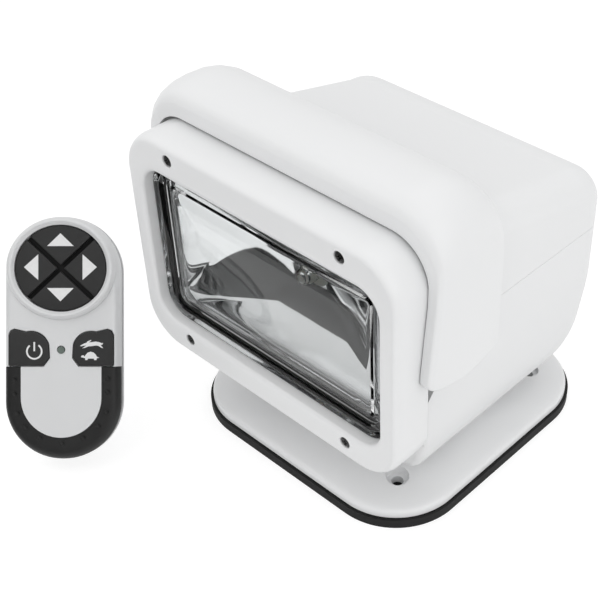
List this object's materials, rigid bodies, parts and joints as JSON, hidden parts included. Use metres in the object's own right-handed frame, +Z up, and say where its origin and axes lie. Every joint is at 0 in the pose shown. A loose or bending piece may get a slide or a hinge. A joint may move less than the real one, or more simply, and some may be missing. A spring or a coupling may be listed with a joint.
{
  "type": "marine searchlight",
  "caption": "Deck-mounted searchlight whose lamp pans on a square foot and tilts under a hood, with a wireless keypad handset standing beside it.",
  "frame": {"origin": "middle of the gasket's underside, where the light meets the deck", "axes": "+Z up from the deck, -Y the way the lamp faces at rest, +X to the side that the picture shows"},
  "size_m": [0.2302, 0.2314, 0.1805],
  "materials": {
    "white_housing": "moulded, UV-stable, semi-gloss",
    "black_rubber": "matt",
    "grey_plastic": "moulded",
    "silver_plastic": "fine satin paint",
    "key_rubber": "matt moulded keys",
    "clear_glass": "clear, stepped rim",
    "bright_reflector": "vacuum-metallised mirror",
    "steel": "bright zinc plate",
    "brass": "machined",
    "nylon": "natural",
    "board_green": "circuit board with parts",
    "led_lens": "tinted clear"
  },
  "bodies": {
    "base": {"base_gasket": "black_rubber", "base_housing": "white_housing", "cable_grommet": "black_rubber", "pan_washer": "nylon", "pan_gear": "brass", "spindle_clip": "steel"},
    "pan_body": {"pan_chassis": "white_housing", "rear_cover": "white_housing", "pan_motor": "steel", "pan_motor_bracket": "steel", "tilt_motor": "steel", "tilt_motor_bracket": "steel", "tilt_bush_left": "nylon", "tilt_bush_right": "nylon", "receiver_board": "board_green"},
    "pan_pinion_body": {"pan_pinion": "brass"},
    "tilt_pinion_body": {"tilt_pinion": "brass"},
    "head": {"hood": "white_housing", "bezel": "white_housing", "lens_seal": "black_rubber", "lens": "clear_glass", "reflector": "bright_reflector", "lamp_housing": "grey_plastic", "bulb": "clear_glass", "bulb_socket": "nylon", "tilt_arm_left": "steel", "tilt_arm_right": "steel", "tilt_shaft": "steel", "tilt_gear": "brass", "bezel_screw_top_left": "steel", "bezel_screw_top_right": "steel", "bezel_screw_low_left": "steel", "bezel_screw_low_right": "steel"},
    "handset": {"handset_front": "silver_plastic", "handset_back": "silver_plastic", "handset_ring": "silver_plastic", "handset_grip": "black_rubber", "handset_led": "led_lens", "keypad_board": "board_green", "battery_cell": "steel"},
    "key_up_body": {"key_up": "key_rubber"},
    "key_down_body": {"key_down": "key_rubber"},
    "key_left_body": {"key_left": "key_rubber"},
    "key_right_body": {"key_right": "key_rubber"},
    "key_power_body": {"key_power": "key_rubber"},
    "key_speed_body": {"key_speed": "key_rubber"}
  },
  "joints": [
    {"name": "pan", "type": "hinge", "parent": "base", "child": "pan_body", "pos_m": [0, 0, 0.0213], "axis": [0, 0, 1], "range_deg": [-185, 185]},
    {"name": "tilt", "type": "hinge", "parent": "pan_body", "child": "head", "pos_m": [0, -0.008, 0.088], "axis": [-1, 0, 0], "range_deg": [-6, 17]},
    {"name": "pan_pinion_spin", "type": "hinge", "parent": "pan_body", "child": "pan_pinion_body", "pos_m": [-0.032, 0, 0.0276], "axis": [0, 0, 1], "range_deg": [-802, 802]},
    {"name": "tilt_pinion_spin", "type": "hinge", "parent": "pan_body", "child": "tilt_pinion_body", "pos_m": [0.0295, 0.022, 0.088], "axis": [-1, 0, 0], "range_deg": [-70, 25]},
    {"name": "handset_lift", "type": "slide", "parent": "base", "child": "handset", "axis": [0, 0, 1], "range_m": [0, 0.15]},
    {"name": "key_up_press", "type": "slide", "parent": "handset", "child": "key_up_body", "axis": [-0.5242, 0.5781, -0.6252], "range_m": [0, 0.0007], "stiffness_N_per_m": 300, "springref_m": -0.0003},
    {"name": "key_down_press", "type": "slide", "parent": "handset", "child": "key_down_body", "axis": [-0.5242, 0.5781, -0.6252], "range_m": [0, 0.0007], "stiffness_N_per_m": 300, "springref_m": -0.0003},
    {"name": "key_left_press", "type": "slide", "parent": "handset", "child": "key_left_body", "axis": [-0.5242, 0.5781, -0.6252], "range_m": [0, 0.0007], "stiffness_N_per_m": 300, "springref_m": -0.0003},
    {"name": "key_right_press", "type": "slide", "parent": "handset", "child": "key_right_body", "axis": [-0.5242, 0.5781, -0.6252], "range_m": [0, 0.0007], "stiffness_N_per_m": 300, "springref_m": -0.0003},
    {"name": "key_power_press", "type": "slide", "parent": "handset", "child": "key_power_body", "axis": [-0.5242, 0.5781, -0.6252], "range_m": [0, 0.0007], "stiffness_N_per_m": 300, "springref_m": -0.0003},
    {"name": "key_speed_press", "type": "slide", "parent": "handset", "child": "key_speed_body", "axis": [-0.5242, 0.5781, -0.6252], "range_m": [0, 0.0007], "stiffness_N_per_m": 300, "springref_m": -0.0003}
  ],
  "couplings": [
    {"joint": "pan_pinion_spin", "follows": "pan", "ratio": 4.3333},
    {"joint": "tilt_pinion_spin", "follows": "tilt", "ratio": -4}
  ]
}
